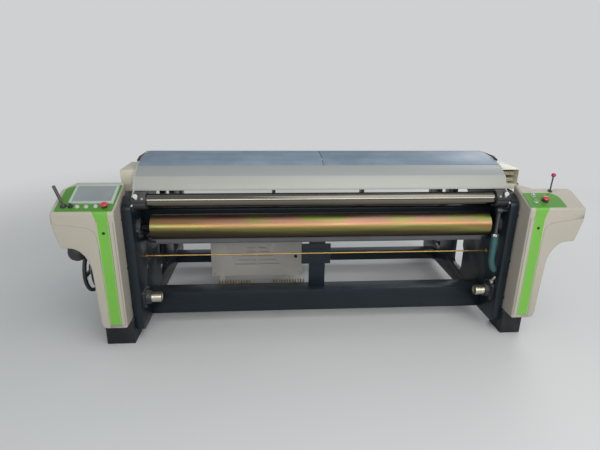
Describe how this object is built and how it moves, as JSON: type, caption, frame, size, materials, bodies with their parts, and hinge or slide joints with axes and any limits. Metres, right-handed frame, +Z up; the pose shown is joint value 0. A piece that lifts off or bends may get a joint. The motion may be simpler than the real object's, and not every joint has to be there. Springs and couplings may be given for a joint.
{
  "type": "power loom",
  "caption": "Wide shuttleless power loom without warp and cloth: rollers and beams between side frames, control towers, hinged top lids, rocking sley with reed, belt drive.",
  "frame": {"origin": "on the floor, at the centre of the loom's width and depth", "axes": "+X across the loom to the right as seen from the weaver's side, +Y from the weaver's side to the warp side, +Z up"},
  "size_m": [2.9798, 1.45, 1.091],
  "materials": {
    "frame_paint": "semi-gloss blue-black",
    "foot_paint": "satin black",
    "chrome": "polished",
    "black_metal": "satin",
    "passivated_roller": "yellow passivated, iridescent",
    "grey_rubber": "matt",
    "bare_steel": "machined",
    "teal_grip": "satin",
    "yellow_steel": "yellow passivated",
    "cream_sheet": "satin",
    "blue_lid": "pale blue, semi-gloss",
    "cream_moulding": "satin moulding",
    "green_film": "semi-gloss film",
    "silver_trim": "satin",
    "screen_glass": "glossy",
    "black_plastic": "matt",
    "clear_button": "glossy",
    "red_plastic": "glossy",
    "grey_button": "glossy",
    "lever_steel": "worn grey-black",
    "crimson_ball": "glossy",
    "motor_paint": "semi-gloss",
    "cast_pulley": "turned",
    "belt_rubber": "matt",
    "sley_steel": "satin grey",
    "reed_steel": "fine wires",
    "brass_springs": "dull"
  },
  "bodies": {
    "loom_frame": {"left_side_frame": "frame_paint", "right_side_frame": "frame_paint", "front_lower_beam": "frame_paint", "front_upper_beam": "frame_paint", "centre_post": "frame_paint", "rear_beams": "frame_paint", "feet": "foot_paint", "beam_cradles": "frame_paint", "gear_cases": "frame_paint", "breast_tube": "chrome", "breast_clamps": "black_metal", "bearing_housings": "black_metal", "yellow_rod": "yellow_steel", "front_fascia": "cream_sheet", "lid_cheeks": "cream_sheet", "end_boxes": "cream_sheet", "left_tower_cover": "cream_moulding", "right_tower_cover": "cream_moulding", "tower_backs": "cream_sheet", "left_green_panel": "green_film", "right_green_panel": "green_film", "screen_housing": "silver_trim", "screen_glass": "screen_glass", "button_bezels": "silver_trim", "lever_collars": "black_plastic", "drive_motor": "motor_paint", "drive_belt": "belt_rubber", "electric_cabinet": "cream_sheet", "louvre_cover": "cream_sheet", "heald_springs": "brass_springs", "spring_rail": "frame_paint"},
    "take_up": {"take_up_roller": "passivated_roller"},
    "press_arms": {"press_arms": "frame_paint"},
    "press_roller": {"press_roller": "grey_rubber"},
    "release_lever": {"release_lever": "bare_steel", "release_grip": "teal_grip"},
    "left_chuck": {"left_chuck": "bare_steel"},
    "right_chuck": {"right_chuck": "bare_steel"},
    "chuck_latch": {"chuck_latch": "bare_steel"},
    "left_lid": {"left_lid": "blue_lid"},
    "right_lid": {"right_lid": "blue_lid"},
    "main_shaft": {"main_shaft": "bare_steel", "handwheel": "black_metal"},
    "motor_pulley": {"motor_pulley": "cast_pulley"},
    "sley": {"sley": "sley_steel", "reed": "reed_steel"},
    "back_rest": {"back_rest_roller": "bare_steel"},
    "left_lever": {"left_lever": "lever_steel"},
    "right_lever": {"right_lever": "black_metal", "right_lever_ball": "crimson_ball"},
    "left_button_1": {"left_button_1": "clear_button"},
    "left_button_2": {"left_button_2": "clear_button"},
    "left_button_3": {"left_button_3": "clear_button"},
    "left_stop_button": {"left_stop_button": "red_plastic"},
    "selector_knob": {"selector_knob": "black_plastic"},
    "right_button_1": {"right_button_1": "grey_button"},
    "right_button_2": {"right_button_2": "grey_button"},
    "right_stop_button": {"right_stop_button": "red_plastic"},
    "left_lock": {"left_lock": "black_metal"},
    "right_lock": {"right_lock": "black_metal"}
  },
  "joints": [
    {"name": "take_up_spin", "type": "hinge", "parent": "loom_frame", "child": "take_up", "pos_m": [0, -0.515, 0.705], "axis": [1, 0, 0], "continuous": true},
    {"name": "press_arm_swing", "type": "hinge", "parent": "loom_frame", "child": "press_arms", "pos_m": [0, -0.325, 0.56], "axis": [1, 0, 0], "range_deg": [0, 12], "stiffness_Nm_per_rad": 100, "springref_deg": -17.19},
    {"name": "press_roller_spin", "type": "hinge", "parent": "press_arms", "child": "press_roller", "pos_m": [0, -0.46298, 0.61115], "axis": [1, 0, 0], "continuous": true},
    {"name": "release_swing", "type": "hinge", "parent": "loom_frame", "child": "release_lever", "pos_m": [1.052, -0.575, 0.803], "axis": [-1, 0, 0], "range_deg": [0, 70]},
    {"name": "left_chuck_spin", "type": "hinge", "parent": "loom_frame", "child": "left_chuck", "pos_m": [-1.05, -0.525, 0.25], "axis": [1, 0, 0], "continuous": true},
    {"name": "right_chuck_spin", "type": "hinge", "parent": "loom_frame", "child": "right_chuck", "pos_m": [1.05, -0.525, 0.25], "axis": [1, 0, 0], "continuous": true},
    {"name": "chuck_latch_swing", "type": "hinge", "parent": "loom_frame", "child": "chuck_latch", "pos_m": [1.086, -0.555, 0.322], "axis": [1, 0, 0], "range_deg": [-30, 40]},
    {"name": "left_lid_hinge", "type": "hinge", "parent": "loom_frame", "child": "left_lid", "pos_m": [-0.545, -0.073, 1.04], "axis": [-1, 0, 0], "range_deg": [0, 95]},
    {"name": "right_lid_hinge", "type": "hinge", "parent": "loom_frame", "child": "right_lid", "pos_m": [0.545, -0.073, 1.04], "axis": [-1, 0, 0], "range_deg": [0, 95]},
    {"name": "main_shaft_turn", "type": "hinge", "parent": "loom_frame", "child": "main_shaft", "pos_m": [-1.4, -0.395, 0.4], "axis": [1, 0, 0], "continuous": true},
    {"name": "motor_pulley_turn", "type": "hinge", "parent": "loom_frame", "child": "motor_pulley", "pos_m": [-1.37, 0.225, 0.33], "axis": [1, 0, 0], "continuous": true},
    {"name": "sley_rock", "type": "hinge", "parent": "loom_frame", "child": "sley", "pos_m": [0, -0.165, 0.59], "axis": [1, 0, 0], "range_deg": [0, 14]},
    {"name": "back_rest_spin", "type": "hinge", "parent": "loom_frame", "child": "back_rest", "pos_m": [0, 0.605, 0.895], "axis": [1, 0, 0], "continuous": true},
    {"name": "left_lever_swing", "type": "hinge", "parent": "loom_frame", "child": "left_lever", "pos_m": [-1.428, -0.67467, 0.88244], "axis": [1, 0, 0], "range_deg": [-10, 10]},
    {"name": "right_lever_swing", "type": "hinge", "parent": "loom_frame", "child": "right_lever", "pos_m": [1.343, -0.57942, 0.92275], "axis": [1, 0, 0], "range_deg": [-10, 10]},
    {"name": "left_button_1_press", "type": "slide", "parent": "loom_frame", "child": "left_button_1", "axis": [0, 0.4163, -0.9092], "range_m": [0, 0.004], "stiffness_N_per_m": 1500, "springref_m": -0.003},
    {"name": "left_button_2_press", "type": "slide", "parent": "loom_frame", "child": "left_button_2", "axis": [0, 0.4163, -0.9092], "range_m": [0, 0.004], "stiffness_N_per_m": 1500, "springref_m": -0.003},
    {"name": "left_button_3_press", "type": "slide", "parent": "loom_frame", "child": "left_button_3", "axis": [0, 0.4163, -0.9092], "range_m": [0, 0.004], "stiffness_N_per_m": 1500, "springref_m": -0.003},
    {"name": "left_stop_button_press", "type": "slide", "parent": "loom_frame", "child": "left_stop_button", "axis": [0, 0.4163, -0.9092], "range_m": [0, 0.005], "stiffness_N_per_m": 1500, "springref_m": -0.003},
    {"name": "right_button_1_press", "type": "slide", "parent": "loom_frame", "child": "right_button_1", "axis": [0, 0.4163, -0.9092], "range_m": [0, 0.004], "stiffness_N_per_m": 1500, "springref_m": -0.003},
    {"name": "right_button_2_press", "type": "slide", "parent": "loom_frame", "child": "right_button_2", "axis": [0, 0.4163, -0.9092], "range_m": [0, 0.004], "stiffness_N_per_m": 1500, "springref_m": -0.003},
    {"name": "right_stop_button_press", "type": "slide", "parent": "loom_frame", "child": "right_stop_button", "axis": [0, 0.4163, -0.9092], "range_m": [0, 0.005], "stiffness_N_per_m": 1500, "springref_m": -0.003},
    {"name": "selector_turn", "type": "hinge", "parent": "loom_frame", "child": "selector_knob", "pos_m": [-1.39, -0.679, 0.87606], "axis": [0, -0.4163, 0.9092], "range_deg": [-45, 45]},
    {"name": "left_lock_turn", "type": "hinge", "parent": "loom_frame", "child": "left_lock", "pos_m": [-1.22, -0.717, 0.74], "axis": [0, 1, 0], "range_deg": [0, 90]},
    {"name": "right_lock_turn", "type": "hinge", "parent": "loom_frame", "child": "right_lock", "pos_m": [1.22, -0.717, 0.74], "axis": [0, 1, 0], "range_deg": [0, 90]}
  ],
  "couplings": [
    {"joint": "press_roller_spin", "follows": "take_up_spin", "ratio": -2.2424},
    {"joint": "motor_pulley_turn", "follows": "main_shaft_turn", "ratio": 2.5}
  ]
}
